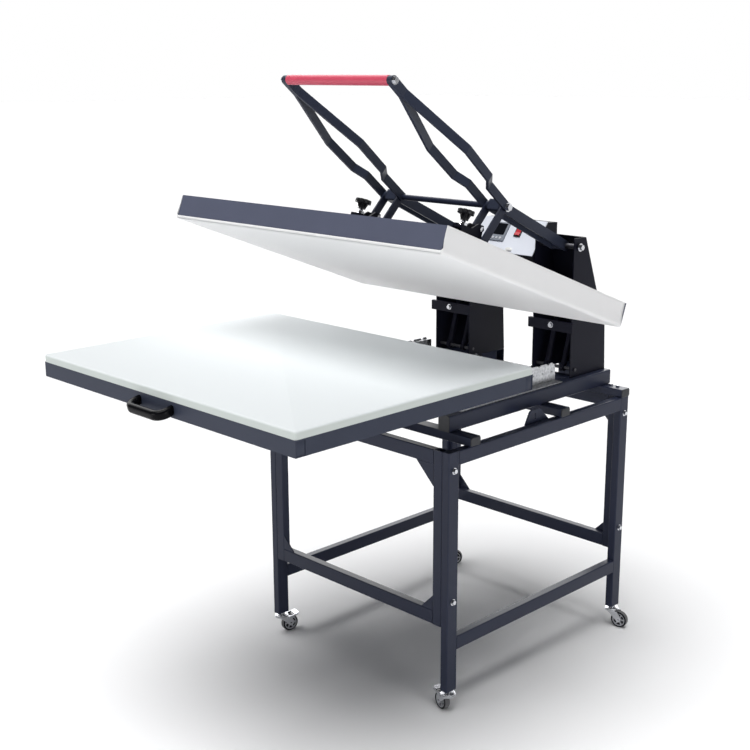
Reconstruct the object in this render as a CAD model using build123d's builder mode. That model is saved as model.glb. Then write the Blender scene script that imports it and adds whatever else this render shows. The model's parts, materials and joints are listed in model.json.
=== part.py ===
from build123d import *
import math
import os

os.makedirs("parts", exist_ok=True)

# Flat heat press, large format: hand lever, pull-out lower platen, wheeled stand.
# Millimetres. X runs to the right, Y to the rear and Z up, with the floor at Z 0.
# The press stands open and its lower platen is pulled out, as in the picture.

# Driving sizes
platen_width = 1020
platen_depth = 800
stand_width = 728
stand_depth = 815
stand_top = 753
stand_front = -71.8
caster_height = 69
slide_length = 450
slide_travel = 400
open_angle = 20.9
tower_spacing = 398
tower_width = 144
running_gap = 0.3

stand_back = stand_front + stand_depth
arm_x = tower_spacing / 2
tower_inner = arm_x - tower_width / 2
tower_outer = arm_x + tower_width / 2

# Stand tubes
leg_width = 25
leg_depth = 40
tube_wall = 2
rail_height = 40
post_width = 31
post_depth = 25
low_side_rail_z = 186
low_cross_rail_z = 257
gusset_large = 62
gusset_small = 42
leg_x = stand_width / 2 - leg_width / 2
leg_y = [stand_front + leg_depth / 2, stand_back - leg_depth / 2]

with BuildPart() as stand_legs:
    with BuildSketch(Plane.XY.offset(caster_height)):
        with Locations(*[(side * leg_x, y) for side in (-1, 1) for y in leg_y]):
            RectangleRounded(leg_width, leg_depth, 3)
            Rectangle(leg_width - 2 * tube_wall, leg_depth - 2 * tube_wall, mode=Mode.SUBTRACT)
    extrude(amount=stand_top - caster_height)
    # foot plate inside each leg, drilled for the caster stem
    with BuildSketch(Plane.XY.offset(caster_height)):
        with Locations(*[(side * leg_x, y) for side in (-1, 1) for y in leg_y]):
            Rectangle(leg_width - 2 * tube_wall, leg_depth - 2 * tube_wall)
            Circle(5, mode=Mode.SUBTRACT)
    extrude(amount=6)
    # cap plate at the top of each leg
    with BuildSketch(Plane.XY.offset(stand_top - tube_wall)):
        with Locations(*[(side * leg_x, y) for side in (-1, 1) for y in leg_y]):
            Rectangle(leg_width - 2 * tube_wall, leg_depth - 2 * tube_wall)
    extrude(amount=tube_wall)
stand_legs.part.label = "stand_legs"
export_step(stand_legs.part, "parts/stand_legs.step")

# Side rails run between the front and rear legs, two on each side
side_rail_span = stand_depth - 2 * leg_depth
lug_front = stand_front + 347
lug_length = 102
lug_rise = 37

with BuildPart() as side_rails:
    for rail_z in (stand_top - rail_height / 2, low_side_rail_z + rail_height / 2):
        with BuildSketch(Plane.XZ.offset(-(stand_back - leg_depth))):
            with Locations((leg_x, rail_z)):
                RectangleRounded(leg_width, rail_height, 3)
                Rectangle(leg_width - 2 * tube_wall, rail_height - 2 * tube_wall, mode=Mode.SUBTRACT)
        extrude(amount=side_rail_span)
    # lug plate welded on the outer face of the top rail, with an upright slot
    with BuildSketch(Plane.YZ.offset(leg_x - leg_width / 2 - 5)):
        with BuildLine():
            Polyline(
                (lug_front, stand_top - 30),
                (lug_front + lug_length, stand_top - 30),
                (lug_front + lug_length, stand_top),
                (lug_front + 64, stand_top + lug_rise),
                (lug_front + 20, stand_top + lug_rise),
                (lug_front, stand_top),
                close=True,
            )
        make_face()
        with Locations((lug_front + 42, stand_top + lug_rise - 19)):
            SlotOverall(20, 5.5, rotation=90, mode=Mode.SUBTRACT)
    lug_blank = extrude(amount=5)
    fillet(lug_blank.edges().filter_by(Axis.X).group_by(Axis.Z)[-1], 14)
    mirror(about=Plane.YZ)
side_rails.part.label = "side_rails"
export_step(side_rails.part, "parts/side_rails.step")

# Cross frames between the two side frames, one at the front and one at the rear
post_x = stand_width / 2 - leg_width - post_width / 2
cross_span = 2 * (post_x - post_width / 2)
frame_y = [stand_front + post_depth / 2, stand_back - post_depth / 2]

with BuildPart() as cross_frames:
    with BuildSketch(Plane.XY.offset(low_cross_rail_z)):
        with Locations(*[(side * post_x, y) for side in (-1, 1) for y in frame_y]):
            RectangleRounded(post_width, post_depth, 3)
            Rectangle(post_width - 2 * tube_wall, post_depth - 2 * tube_wall, mode=Mode.SUBTRACT)
    extrude(amount=stand_top - low_cross_rail_z)
    for rail_z in (stand_top - rail_height / 2, low_cross_rail_z + rail_height / 2):
        with BuildSketch(Plane.YZ.offset(-cross_span / 2)):
            with Locations(*[(y, rail_z) for y in frame_y]):
                RectangleRounded(post_depth, rail_height, 3)
                Rectangle(post_depth - 2 * tube_wall, rail_height - 2 * tube_wall, mode=Mode.SUBTRACT)
        extrude(amount=cross_span)
cross_frames.part.label = "cross_frames"
export_step(cross_frames.part, "parts/cross_frames.step")

# Triangular gussets in the corners of the cross frames
with BuildPart() as corner_gussets:
    for plane_y in (stand_front + 1, stand_back - 5):
        with BuildSketch(Plane.XZ.offset(-plane_y - 4)):
            top_z = stand_top - rail_height
            low_z = low_cross_rail_z + rail_height
            edge_x = cross_span / 2
            for corner_z, leg, way in ((top_z, gusset_large, -1), (low_z, gusset_small, 1)):
                with BuildLine():
                    Polyline(
                        (edge_x, corner_z),
                        (edge_x - leg, corner_z),
                        (edge_x, corner_z + way * leg),
                        close=True,
                    )
                make_face()
        extrude(amount=4)
    mirror(about=Plane.YZ)
corner_gussets.part.label = "corner_gussets"
export_step(corner_gussets.part, "parts/corner_gussets.step")

# Base frame that carries the slides and the towers
rail_inset = 71
base_rail_outer = stand_width / 2 - rail_inset
base_rail_width = 40
base_rail_inner = base_rail_outer - base_rail_width
base_tube_wall = 2.5
base_rail_z = 778
base_rail_height = 45
base_rail_front = stand_front + 80
base_rail_back = stand_back
base_cross_height = base_rail_z - stand_top
base_rail_x = base_rail_outer - base_rail_width / 2
base_rail_mid_z = base_rail_z + base_rail_height / 2
base_rail_places = [(-base_rail_x, base_rail_mid_z), (base_rail_x, base_rail_mid_z)]
base_top = base_rail_z + base_rail_height
mid_cross_y = stand_front + 495
sill_front_y = stand_front + 659

with BuildPart() as base_frame:
    with BuildSketch(Plane.XZ.offset(-base_rail_back)):
        with Locations(*base_rail_places):
            RectangleRounded(base_rail_width, base_rail_height, 4)
            Rectangle(
                base_rail_width - 2 * base_tube_wall,
                base_rail_height - 2 * base_tube_wall,
                mode=Mode.SUBTRACT,
            )
    extrude(amount=base_rail_back - base_rail_front)
    # cross tubes under the rails; the rear one reaches out to the stand's sides
    for tube_y, half_length in (
        (base_rail_back - leg_depth / 2, stand_width / 2),
        (mid_cross_y, leg_x + leg_width / 2),
        (base_rail_front + 22.5, leg_x + leg_width / 2),
    ):
        with BuildSketch(Plane.YZ.offset(-half_length)):
            with Locations((tube_y, stand_top + base_cross_height / 2)):
                RectangleRounded(leg_depth, base_cross_height, 3)
                Rectangle(leg_depth - 2 * tube_wall, base_cross_height - 2 * tube_wall, mode=Mode.SUBTRACT)
        extrude(amount=2 * half_length)
    # sills under the towers: the front one goes across, the rear ones are short stubs
    for tube_y, start, length in (
        (sill_front_y, -base_rail_inner, 2 * base_rail_inner),
        (base_rail_back - leg_depth / 2, -base_rail_inner, base_rail_inner - tower_inner),
        (base_rail_back - leg_depth / 2, tower_inner, base_rail_inner - tower_inner),
    ):
        with BuildSketch(Plane.YZ.offset(start)):
            with Locations((tube_y, base_rail_mid_z)):
                RectangleRounded(leg_depth, base_rail_height, 3)
                Rectangle(leg_depth - 2 * tube_wall, base_rail_height - 2 * tube_wall, mode=Mode.SUBTRACT)
        extrude(amount=length)
base_frame.part.label = "base_frame"
export_step(base_frame.part, "parts/base_frame.step")

# Plastic caps in the open tube ends
with BuildPart() as tube_caps:
    with BuildSketch(Plane.YZ.offset(stand_width / 2)):
        for tube_y in (base_rail_back - leg_depth / 2, mid_cross_y, base_rail_front + 22.5):
            with Locations((tube_y, stand_top + base_cross_height / 2)):
                RectangleRounded(leg_depth - 1, base_cross_height - 1, 6)
    cap_face = extrude(amount=3)
    fillet(cap_face.edges().group_by(Axis.X)[-1], 2)
    mirror(about=Plane.YZ)
    for rail_end, way in ((base_rail_front, 1), (base_rail_back, -1)):
        with BuildSketch(Plane.XZ.offset(-rail_end)):
            with Locations(*base_rail_places):
                RectangleRounded(base_rail_width - 1, base_rail_height - 1, 4)
        extrude(amount=way * 2)
tube_caps.part.label = "tube_caps"
export_step(tube_caps.part, "parts/tube_caps.step")

# Slides: each side has a mount angle on the rail, a fixed channel, a middle and an inner one
slide_front = stand_front + 135
slide_back = slide_front + slide_length
slide_z = 852
fixed_height = 44
mount_sheet = 3
mount_top = 880
mount_foot = 31
channel_sheet = 2
slide_gap = 0.5
fixed_x = base_rail_inner
fixed_lip = 10
middle_x = fixed_x - channel_sheet - slide_gap
middle_height = fixed_height - 2 * channel_sheet - 2 * slide_gap
inner_x = middle_x - channel_sheet - slide_gap
inner_height = middle_height - 2 * channel_sheet - 2 * slide_gap
inner_lip = 9
hanger_x = inner_x - inner_lip
stop_thick = 8
runner_length = slide_length - stop_thick - running_gap
scallop_pitch = 43
scallop_count = 10

with BuildPart() as slide_mounts:
    # upright leg on the rail's inner edge, scalloped along its top
    with BuildSketch(Plane.YZ.offset(base_rail_inner)):
        with BuildLine():
            Polyline(
                (slide_front, base_top),
                (slide_back, base_top),
                (slide_back, mount_top - 16),
                (slide_back - 14, mount_top),
                (slide_front + 14, mount_top),
                (slide_front, mount_top - 16),
                close=True,
            )
        make_face()
        with Locations(*[(slide_back - 32 - scallop_pitch * step, mount_top + 4) for step in range(scallop_count)]):
            Circle(9, mode=Mode.SUBTRACT)
        with Locations(*[(slide_back - 16 - scallop_pitch * step, mount_top - 26) for step in range(scallop_count)]):
            Circle(2.5, mode=Mode.SUBTRACT)
    extrude(amount=mount_sheet)
    # foot on the rail's top
    with BuildSketch(Plane.XZ.offset(-slide_back)):
        with Locations((base_rail_inner + mount_foot / 2, base_top + mount_sheet / 2)):
            Rectangle(mount_foot, mount_sheet)
    extrude(amount=slide_length)
    mirror(about=Plane.YZ)
slide_mounts.part.label = "slide_mounts"
export_step(slide_mounts.part, "parts/slide_mounts.step")

with BuildPart() as slide_fixed:
    with BuildSketch(Plane.XZ.offset(-slide_back)):
        with Locations((fixed_x - fixed_lip / 2, slide_z)):
            Rectangle(fixed_lip, fixed_height)
        with Locations((fixed_x - channel_sheet - fixed_lip / 2, slide_z)):
            Rectangle(fixed_lip, fixed_height - 2 * channel_sheet, mode=Mode.SUBTRACT)
    extrude(amount=slide_length)
    mirror(about=Plane.YZ)
slide_fixed.part.label = "slide_fixed"
export_step(slide_fixed.part, "parts/slide_fixed.step")

with BuildPart() as slide_middle:
    with BuildSketch(Plane.XZ.offset(-(slide_front - slide_travel / 2 + runner_length))):
        with Locations((middle_x - fixed_lip / 2, slide_z)):
            Rectangle(fixed_lip, middle_height)
        with Locations((middle_x - channel_sheet - fixed_lip / 2, slide_z)):
            Rectangle(fixed_lip, middle_height - 2 * channel_sheet, mode=Mode.SUBTRACT)
    extrude(amount=runner_length)
    mirror(about=Plane.YZ)
slide_middle.part.label = "slide_middle"
export_step(slide_middle.part, "parts/slide_middle.step")

with BuildPart() as slide_inner:
    with BuildSketch(Plane.XZ.offset(-(slide_front - slide_travel + runner_length))):
        with Locations((inner_x - inner_lip / 2, slide_z)):
            Rectangle(inner_lip, inner_height)
        with Locations((inner_x - channel_sheet - inner_lip / 2, slide_z)):
            Rectangle(inner_lip, inner_height - 2 * channel_sheet, mode=Mode.SUBTRACT)
    extrude(amount=runner_length)
    mirror(about=Plane.YZ)
slide_inner.part.label = "slide_inner"
export_step(slide_inner.part, "parts/slide_inner.step")

# Rubber stops in the rear ends of the fixed channels
with BuildPart() as slide_stops:
    with BuildSketch(Plane.XZ.offset(-slide_back)):
        with Locations((fixed_x - channel_sheet - inner_lip / 2, slide_z)):
            Rectangle(inner_lip, fixed_height - 2 * channel_sheet)
    stop_blank = extrude(amount=stop_thick)
    fillet(stop_blank.edges().filter_by(Axis.Y).group_by(Axis.X)[0], 3)
    mirror(about=Plane.YZ)
slide_stops.part.label = "slide_stops"
export_step(slide_stops.part, "parts/slide_stops.step")

# Lower platen, drawn in its pulled-out place
lower_back = stand_front + 152
lower_front = lower_back - platen_depth
lower_mid = (lower_front + lower_back) / 2
lower_frame_z = 924
lower_frame_height = 40
deck_sheet = 2
frame_tube_width = 30
beam_width = 40
beam_x = hanger_x - mount_sheet - 8
pad_thickness = 20
lower_tube_height = lower_frame_height - deck_sheet
lower_tube_mid_z = lower_frame_z + lower_tube_height / 2
lower_tube_y = [lower_front + frame_tube_width / 2, lower_back - frame_tube_width / 2]
pad_top = lower_frame_z + lower_frame_height + pad_thickness

with BuildPart() as lower_frame:
    # front and rear tubes, then side tubes and the two beams over the slides
    with BuildSketch(Plane.YZ.offset(-platen_width / 2)):
        with Locations(*[(y, lower_tube_mid_z) for y in lower_tube_y]):
            Rectangle(frame_tube_width, lower_tube_height)
            Rectangle(frame_tube_width - 4, lower_tube_height - 4, mode=Mode.SUBTRACT)
    extrude(amount=platen_width)
    with BuildSketch(Plane.XZ.offset(-(lower_back - frame_tube_width))):
        side_tube_x = platen_width / 2 - frame_tube_width / 2
        with Locations((-side_tube_x, lower_tube_mid_z), (side_tube_x, lower_tube_mid_z)):
            Rectangle(frame_tube_width, lower_tube_height)
            Rectangle(frame_tube_width - 4, lower_tube_height - 4, mode=Mode.SUBTRACT)
        with Locations((-beam_x, lower_tube_mid_z), (beam_x, lower_tube_mid_z)):
            Rectangle(beam_width, lower_tube_height)
            Rectangle(beam_width - 4, lower_tube_height - 4, mode=Mode.SUBTRACT)
    extrude(amount=platen_depth - 2 * frame_tube_width)
    # steel deck over the whole frame
    with BuildSketch(Plane.XY.offset(lower_frame_z + lower_tube_height)):
        with Locations((0, lower_mid)):
            Rectangle(platen_width, platen_depth)
    extrude(amount=deck_sheet)
lower_frame.part.label = "lower_frame"
export_step(lower_frame.part, "parts/lower_frame.step")

with BuildPart() as lower_pad:
    with BuildSketch(Plane.XY.offset(lower_frame_z + lower_frame_height)):
        with Locations((0, lower_mid)):
            RectangleRounded(platen_width, platen_depth, 6)
    extrude(amount=pad_thickness)
    fillet(lower_pad.faces().sort_by(Axis.Z)[-1].edges(), 4)
lower_pad.part.label = "lower_pad"
export_step(lower_pad.part, "parts/lower_pad.step")

# Moulded bow handle on the middle of the lower platen's front edge
pull_width = 134
pull_reach = 44
pull_droop = 10
pull_thick = 14
pull_height = 20
pull_bend = 24
pull_z = lower_frame_z + 19
pull_slope = math.atan2(pull_droop, pull_reach - pull_thick / 2)
pull_plane = Plane(
    origin=(0, lower_front, pull_z),
    x_dir=(1, 0, 0),
    z_dir=(0, -math.sin(pull_slope), math.cos(pull_slope)),
)
with BuildPart() as pull_handle:
    with BuildLine(pull_plane) as pull_path:
        FilletPolyline(
            (-pull_width / 2, 8),
            (-pull_width / 2, pull_thick / 2 - pull_reach),
            (pull_width / 2, pull_thick / 2 - pull_reach),
            (pull_width / 2, 8),
            radius=pull_bend,
        )
    with BuildSketch(Plane(origin=pull_path.wire() @ 0, x_dir=(1, 0, 0), z_dir=pull_path.wire() % 0)):
        RectangleRounded(pull_thick, pull_height, 6)
    sweep()
    # ends cut flush with the platen's edge
    with BuildSketch(Plane.XZ.offset(-lower_front)):
        Rectangle(2 * pull_width, 4 * pull_z)
    extrude(amount=-60, mode=Mode.SUBTRACT)
pull_handle.part.label = "pull_handle"
export_step(pull_handle.part, "parts/pull_handle.step")

# Angles that hang the lower platen on the inner slides
hanger_front = slide_front - slide_travel
hanger_length = 400
hanger_leg = 24
with BuildPart() as slide_hangers:
    with BuildSketch(Plane.XZ.offset(-(hanger_front + hanger_length))):
        with BuildLine():
            Polyline(
                (hanger_x, slide_z - inner_height / 2),
                (hanger_x - mount_sheet, slide_z - inner_height / 2),
                (hanger_x - mount_sheet, lower_frame_z - mount_sheet),
                (hanger_x - hanger_leg, lower_frame_z - mount_sheet),
                (hanger_x - hanger_leg, lower_frame_z),
                (hanger_x, lower_frame_z),
                close=True,
            )
        make_face()
    extrude(amount=hanger_length)
    mirror(about=Plane.YZ)
slide_hangers.part.label = "slide_hangers"
export_step(slide_hangers.part, "parts/slide_hangers.step")

# Pivots of the press mechanism, as Y and Z
hinge_y = stand_front + 660
hinge_z = 1050
lever_y = stand_front + 662
lever_z = 1213
knee_y = stand_front + 368
knee_z = 1351
grip_y = stand_front - 42
grip_z = 1693
link_foot_y = stand_front + 253
link_foot_z = 1234
spring_foot_y = stand_front + 660
spring_foot_z = 846
spring_head_y = stand_front + 728
spring_head_z = 1060

# Towers: folded sheet boxes, open at the front, leaning in at the upper rear
tower_front = stand_front + 639
tower_sheet = 3
tower_top = 1240
tower_knee_y = stand_back - 8
tower_knee_z = 960
tower_bend_y = stand_back - 57
tower_bend_z = 1076
tower_top_back = stand_front + 695
pivot_pin = 8
hinge_pin = 10
spring_pin = 5
band_height = 30
band_z = 976
band_depth = 11
band_overhang = 10

with BuildPart() as towers:
    with BuildSketch(Plane.YZ.offset(tower_inner)):
        with BuildLine() as tower_side:
            Polyline(
                (tower_front, base_top),
                (stand_back, base_top),
                (tower_knee_y, tower_knee_z),
                (tower_bend_y, tower_bend_z),
                (tower_top_back, tower_top),
                (tower_front, tower_top),
                close=True,
            )
        make_face()
    extrude(amount=tower_width)
    with BuildSketch(Plane.YZ.offset(tower_inner + tower_sheet)):
        with BuildLine():
            Polyline(
                (tower_front - 1, base_top - 1),
                (stand_back - tower_sheet, base_top - 1),
                (tower_knee_y - tower_sheet, tower_knee_z),
                (tower_bend_y - tower_sheet, tower_bend_z),
                (tower_top_back - tower_sheet, tower_top + 1),
                (tower_front - 1, tower_top + 1),
                close=True,
            )
        make_face()
    extrude(amount=tower_width - 2 * tower_sheet, mode=Mode.SUBTRACT)
    # bores for the lever pivot, the platen hinge and the springs' lower pins
    with BuildSketch(Plane.YZ.offset(tower_inner - 1)):
        with Locations((lever_y, lever_z)):
            Circle(pivot_pin)
        with Locations((hinge_y, hinge_z)):
            Circle(hinge_pin)
        with Locations((spring_foot_y, spring_foot_z)):
            Circle(spring_pin)
    extrude(amount=tower_width + 2, mode=Mode.SUBTRACT)
    # hinge band across the open front
    with BuildSketch(Plane.XZ.offset(-tower_front)):
        with Locations((arm_x, band_z)):
            Rectangle(tower_width + 2 * band_overhang, band_height)
    extrude(amount=band_depth)
    # foot flange turned inwards onto the sill
    with BuildSketch(Plane.XY.offset(base_top)):
        with Locations((tower_inner - 11, sill_front_y)):
            Rectangle(22, leg_depth)
            Circle(4, mode=Mode.SUBTRACT)
    extrude(amount=5)
    mirror(about=Plane.YZ)
towers.part.label = "towers"
export_step(towers.part, "parts/towers.step")

# Steel pins held in the tower walls, one set per tower
pin_end = 4
with BuildPart() as tower_pins:
    with BuildSketch(Plane.YZ.offset(tower_inner)):
        with Locations((lever_y, lever_z)):
            Circle(pivot_pin)
        with Locations((hinge_y, hinge_z)):
            Circle(hinge_pin)
        with Locations((spring_foot_y, spring_foot_z)):
            Circle(spring_pin)
    extrude(amount=tower_width + pin_end)
    mirror(about=Plane.YZ)
tower_pins.part.label = "tower_pins"
export_step(tower_pins.part, "parts/tower_pins.step")

# Chrome hexagon bolts and washers of the stand, the base and the towers
bolt_head = 13
washer_radius = 9
low_bolt_z = low_cross_rail_z + 75
with BuildPart() as frame_bolts:
    # through the sides of the legs
    with BuildSketch(Plane.YZ.offset(stand_width / 2)):
        with Locations(*[(y, z) for y in leg_y for z in (stand_top - 51, low_bolt_z)]):
            Circle(washer_radius)
    extrude(amount=1.5)
    with BuildSketch(Plane.YZ.offset(stand_width / 2 + 1.5)):
        with Locations(*[(y, z) for y in leg_y for z in (stand_top - 51, low_bolt_z)]):
            RegularPolygon(bolt_head / 2, 6)
    extrude(amount=6)
    # on the outer walls of the towers, over the lever and hinge pins
    with BuildSketch(Plane.YZ.offset(tower_outer + pin_end)):
        with Locations((lever_y, lever_z), (hinge_y, hinge_z)):
            Circle(washer_radius + 3)
    extrude(amount=1.5)
    with BuildSketch(Plane.YZ.offset(tower_outer + pin_end + 1.5)):
        with Locations((lever_y, lever_z), (hinge_y, hinge_z)):
            RegularPolygon(bolt_head / 2 + 2, 6)
    extrude(amount=8)
    # in the middle of each hinge band
    with BuildSketch(Plane.XZ.offset(-(tower_front - band_depth))):
        with Locations((arm_x + 4, band_z + 2)):
            Circle(washer_radius)
    extrude(amount=1.5)
    with BuildSketch(Plane.XZ.offset(-(tower_front - band_depth - 1.5))):
        with Locations((arm_x + 4, band_z + 2)):
            RegularPolygon(bolt_head / 2, 6)
    extrude(amount=6)
    # upright, through the foot flanges and the rear ends of the base rails
    with BuildSketch(Plane.XY.offset(base_top + 5)):
        with Locations((tower_inner - 11, sill_front_y)):
            RegularPolygon(bolt_head / 2, 6)
    extrude(amount=6)
    with BuildSketch(Plane.XY.offset(base_rail_z)):
        with Locations((base_rail_outer + 14, stand_back - 12), (base_rail_outer + 38, stand_back - 12)):
            RegularPolygon(bolt_head / 2, 6)
    extrude(amount=5)
    mirror(about=Plane.YZ)
frame_bolts.part.label = "frame_bolts"
export_step(frame_bolts.part, "parts/frame_bolts.step")

# Upper platen, drawn in its own flat frame about the hinge and tilted open
tilt = math.radians(open_angle)
press_plane = Plane(
    origin=(0, hinge_y, hinge_z),
    x_dir=(1, 0, 0),
    z_dir=(0, math.sin(tilt), math.cos(tilt)),
)
upper_depth = 789
upper_thickness = 69
upper_back = -107
upper_front = upper_back - upper_depth
upper_mid = (upper_front + upper_back) / 2
pad_clearance = 1
cloth = 1.5
upper_bottom = pad_top + pad_clearance - hinge_z
upper_top = upper_bottom + upper_thickness
cover_sheet = 2
heat_plate = 14
cover_lip = 8
plate_bottom = upper_bottom + cloth
cover_bottom = plate_bottom + cover_lip
cover_width = platen_width - 2 * cloth

press_side = Plane(origin=press_plane.origin, x_dir=press_plane.y_dir, z_dir=(1, 0, 0))

with BuildPart() as upper_cover:
    with BuildSketch(press_plane.offset(cover_bottom)):
        with Locations((0, upper_mid)):
            Rectangle(cover_width, upper_depth)
    extrude(amount=upper_top - cover_bottom)
    with BuildSketch(press_plane.offset(cover_bottom)):
        with Locations((0, upper_mid)):
            Rectangle(cover_width - 2 * cover_sheet, upper_depth - 2 * cover_sheet)
    extrude(amount=upper_top - cover_bottom - cover_sheet, mode=Mode.SUBTRACT)
upper_cover.part.label = "upper_cover"
export_step(upper_cover.part, "parts/upper_cover.step")

# Aluminium heating plate: its upper step sits inside the cover's skirt
with BuildPart() as heating_plate:
    with BuildSketch(press_plane.offset(plate_bottom)):
        with Locations((0, upper_mid)):
            Rectangle(cover_width, upper_depth)
    extrude(amount=cover_lip)
    chamfer(heating_plate.edges().filter_by(Axis.X).group_by(Axis.Z)[0], 4)
    with BuildSketch(press_plane.offset(cover_bottom)):
        with Locations((0, upper_mid)):
            Rectangle(cover_width - 2 * cover_sheet, upper_depth - 2 * cover_sheet)
    extrude(amount=heat_plate - cover_lip)
heating_plate.part.label = "heating_plate"
export_step(heating_plate.part, "parts/heating_plate.step")

# Tubular heating element, bent to and fro over the plate
element_radius = 4
element_runs = 6
element_reach = 430
element_pitch = 112
element_z = plate_bottom + heat_plate + element_radius
with BuildPart() as heating_element:
    with BuildLine(press_plane.offset(element_z)) as element_path:
        row_y = [upper_mid + (row - (element_runs - 1) / 2) * element_pitch for row in range(element_runs)]
        Line((-element_reach - 30, row_y[0]), (element_reach, row_y[0]))
        for row in range(1, element_runs):
            side = 1 if row % 2 else -1
            ThreePointArc(
                (side * element_reach, row_y[row - 1]),
                (side * (element_reach + element_pitch / 2), (row_y[row - 1] + row_y[row]) / 2),
                (side * element_reach, row_y[row]),
            )
            tail = 30 if row == element_runs - 1 else 0
            Line((side * element_reach, row_y[row]), (-side * (element_reach + tail), row_y[row]))
    with BuildSketch(Plane(origin=element_path.wire() @ 0, z_dir=element_path.wire() % 0)):
        Circle(element_radius)
    sweep()
heating_element.part.label = "heating_element"
export_step(heating_element.part, "parts/heating_element.step")

# Insulation board between the element and the cover
board_gap = 1
board_z = element_z + element_radius + board_gap
with BuildPart() as insulation_board:
    with BuildSketch(press_plane.offset(board_z)):
        with Locations((0, upper_mid)):
            Rectangle(cover_width - 2 * cover_sheet, upper_depth - 2 * cover_sheet)
    extrude(amount=upper_top - cover_sheet - board_z)
insulation_board.part.label = "insulation_board"
export_step(insulation_board.part, "parts/insulation_board.step")

# Press cloth: one sheet under the plate, turned up over the two ends
with BuildPart() as press_cloth:
    with BuildSketch(press_plane.offset(upper_bottom)):
        with Locations((0, upper_mid)):
            Rectangle(platen_width, upper_depth - 2)
    extrude(amount=cloth)
    with BuildSketch(press_plane.offset(plate_bottom)):
        with Locations((-(platen_width - cloth) / 2, upper_mid), ((platen_width - cloth) / 2, upper_mid)):
            Rectangle(cloth, upper_depth - 2)
    extrude(amount=upper_top - plate_bottom)
press_cloth.part.label = "press_cloth"
export_step(press_cloth.part, "parts/press_cloth.step")

# Pressure brackets and screws stand on the cover, in line with the lever arms
press_mid = press_plane.to_local_coords(Vector(0, link_foot_y, link_foot_z))
foot_v = press_mid.Y
foot_w = press_mid.Z
head_local = press_plane.to_local_coords(Vector(0, spring_head_y, spring_head_z))
tail_v = head_local.Y
tail_w = head_local.Z
screw_v = foot_v - 50
bracket_half = 18
bracket_sheet = 5
bracket_base = 6
bracket_top = upper_top + 84
ear_top = upper_top + 103
ear_v = foot_v + 15
screw_radius = 6
link_pin = 6
link_pin_play = 3.2
strap_front = foot_v + 52
strap_width = 80
strap_sheet = 10

with BuildPart() as pressure_brackets:
    with BuildSketch(press_plane.offset(upper_top)):
        with Locations((arm_x, (screw_v - 35 + strap_front - 5) / 2)):
            RectangleRounded(strap_width, strap_front - 5 - screw_v + 35, 6)
    extrude(amount=bracket_base)
    # two upright sides that rise to an ear at the rear
    for wall in (arm_x - bracket_half, arm_x + bracket_half - bracket_sheet):
        with BuildSketch(press_side.offset(wall)):
            with BuildLine():
                Polyline(
                    (screw_v - 20, upper_top + bracket_base),
                    (foot_v + 22, upper_top + bracket_base),
                    (foot_v + 22, foot_w + 12),
                    (ear_v, ear_top - 14),
                    (ear_v, ear_top),
                    (ear_v - 22, ear_top),
                    (screw_v + 20, bracket_top),
                    (screw_v - 20, bracket_top),
                    close=True,
                )
            make_face()
            with Locations((foot_v, foot_w)):
                Circle(link_pin + link_pin_play, mode=Mode.SUBTRACT)
            with Locations((ear_v - 9, ear_top - 12)):
                Circle(5, mode=Mode.SUBTRACT)
        extrude(amount=bracket_sheet)
    # nut plate across the top for the screw
    with BuildSketch(press_plane.offset(bracket_top - 8)):
        with Locations((arm_x, screw_v)):
            Rectangle(2 * (bracket_half - bracket_sheet), 40)
            Circle(screw_radius + running_gap, mode=Mode.SUBTRACT)
    extrude(amount=8)
    mirror(about=Plane.YZ)
pressure_brackets.part.label = "pressure_brackets"
export_step(pressure_brackets.part, "parts/pressure_brackets.step")

# Hinge arms: a strap on the cover, a tongue into the tower and a tail for the springs
tongue = 16
with BuildPart() as hinge_arms:
    with BuildSketch(press_plane.offset(upper_top)):
        with Locations((arm_x, (strap_front + upper_back) / 2)):
            RectangleRounded(strap_width, upper_back - strap_front, 4)
    extrude(amount=strap_sheet)
    with BuildSketch(press_side.offset(arm_x - tongue / 2)):
        with BuildLine():
            Polyline(
                (strap_front + 60, upper_top + strap_sheet),
                (upper_back, upper_top + strap_sheet),
                (upper_back, -38),
                (-18, -22),
                (tail_v, tail_w - 12),
                (tail_v, tail_w + 12),
                (-8, 26),
                (upper_back, upper_top + 46),
                (upper_back - 60, upper_top + 46),
                close=True,
            )
        make_face()
        with Locations((0, 0)):
            Circle(25)
        with Locations((tail_v, tail_w)):
            Circle(13)
            Circle(spring_pin, mode=Mode.SUBTRACT)
        with Locations((0, 0)):
            Circle(hinge_pin + 0.1, mode=Mode.SUBTRACT)
    extrude(amount=tongue)
    mirror(about=Plane.YZ)
hinge_arms.part.label = "hinge_arms"
export_step(hinge_arms.part, "parts/hinge_arms.step")

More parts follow.
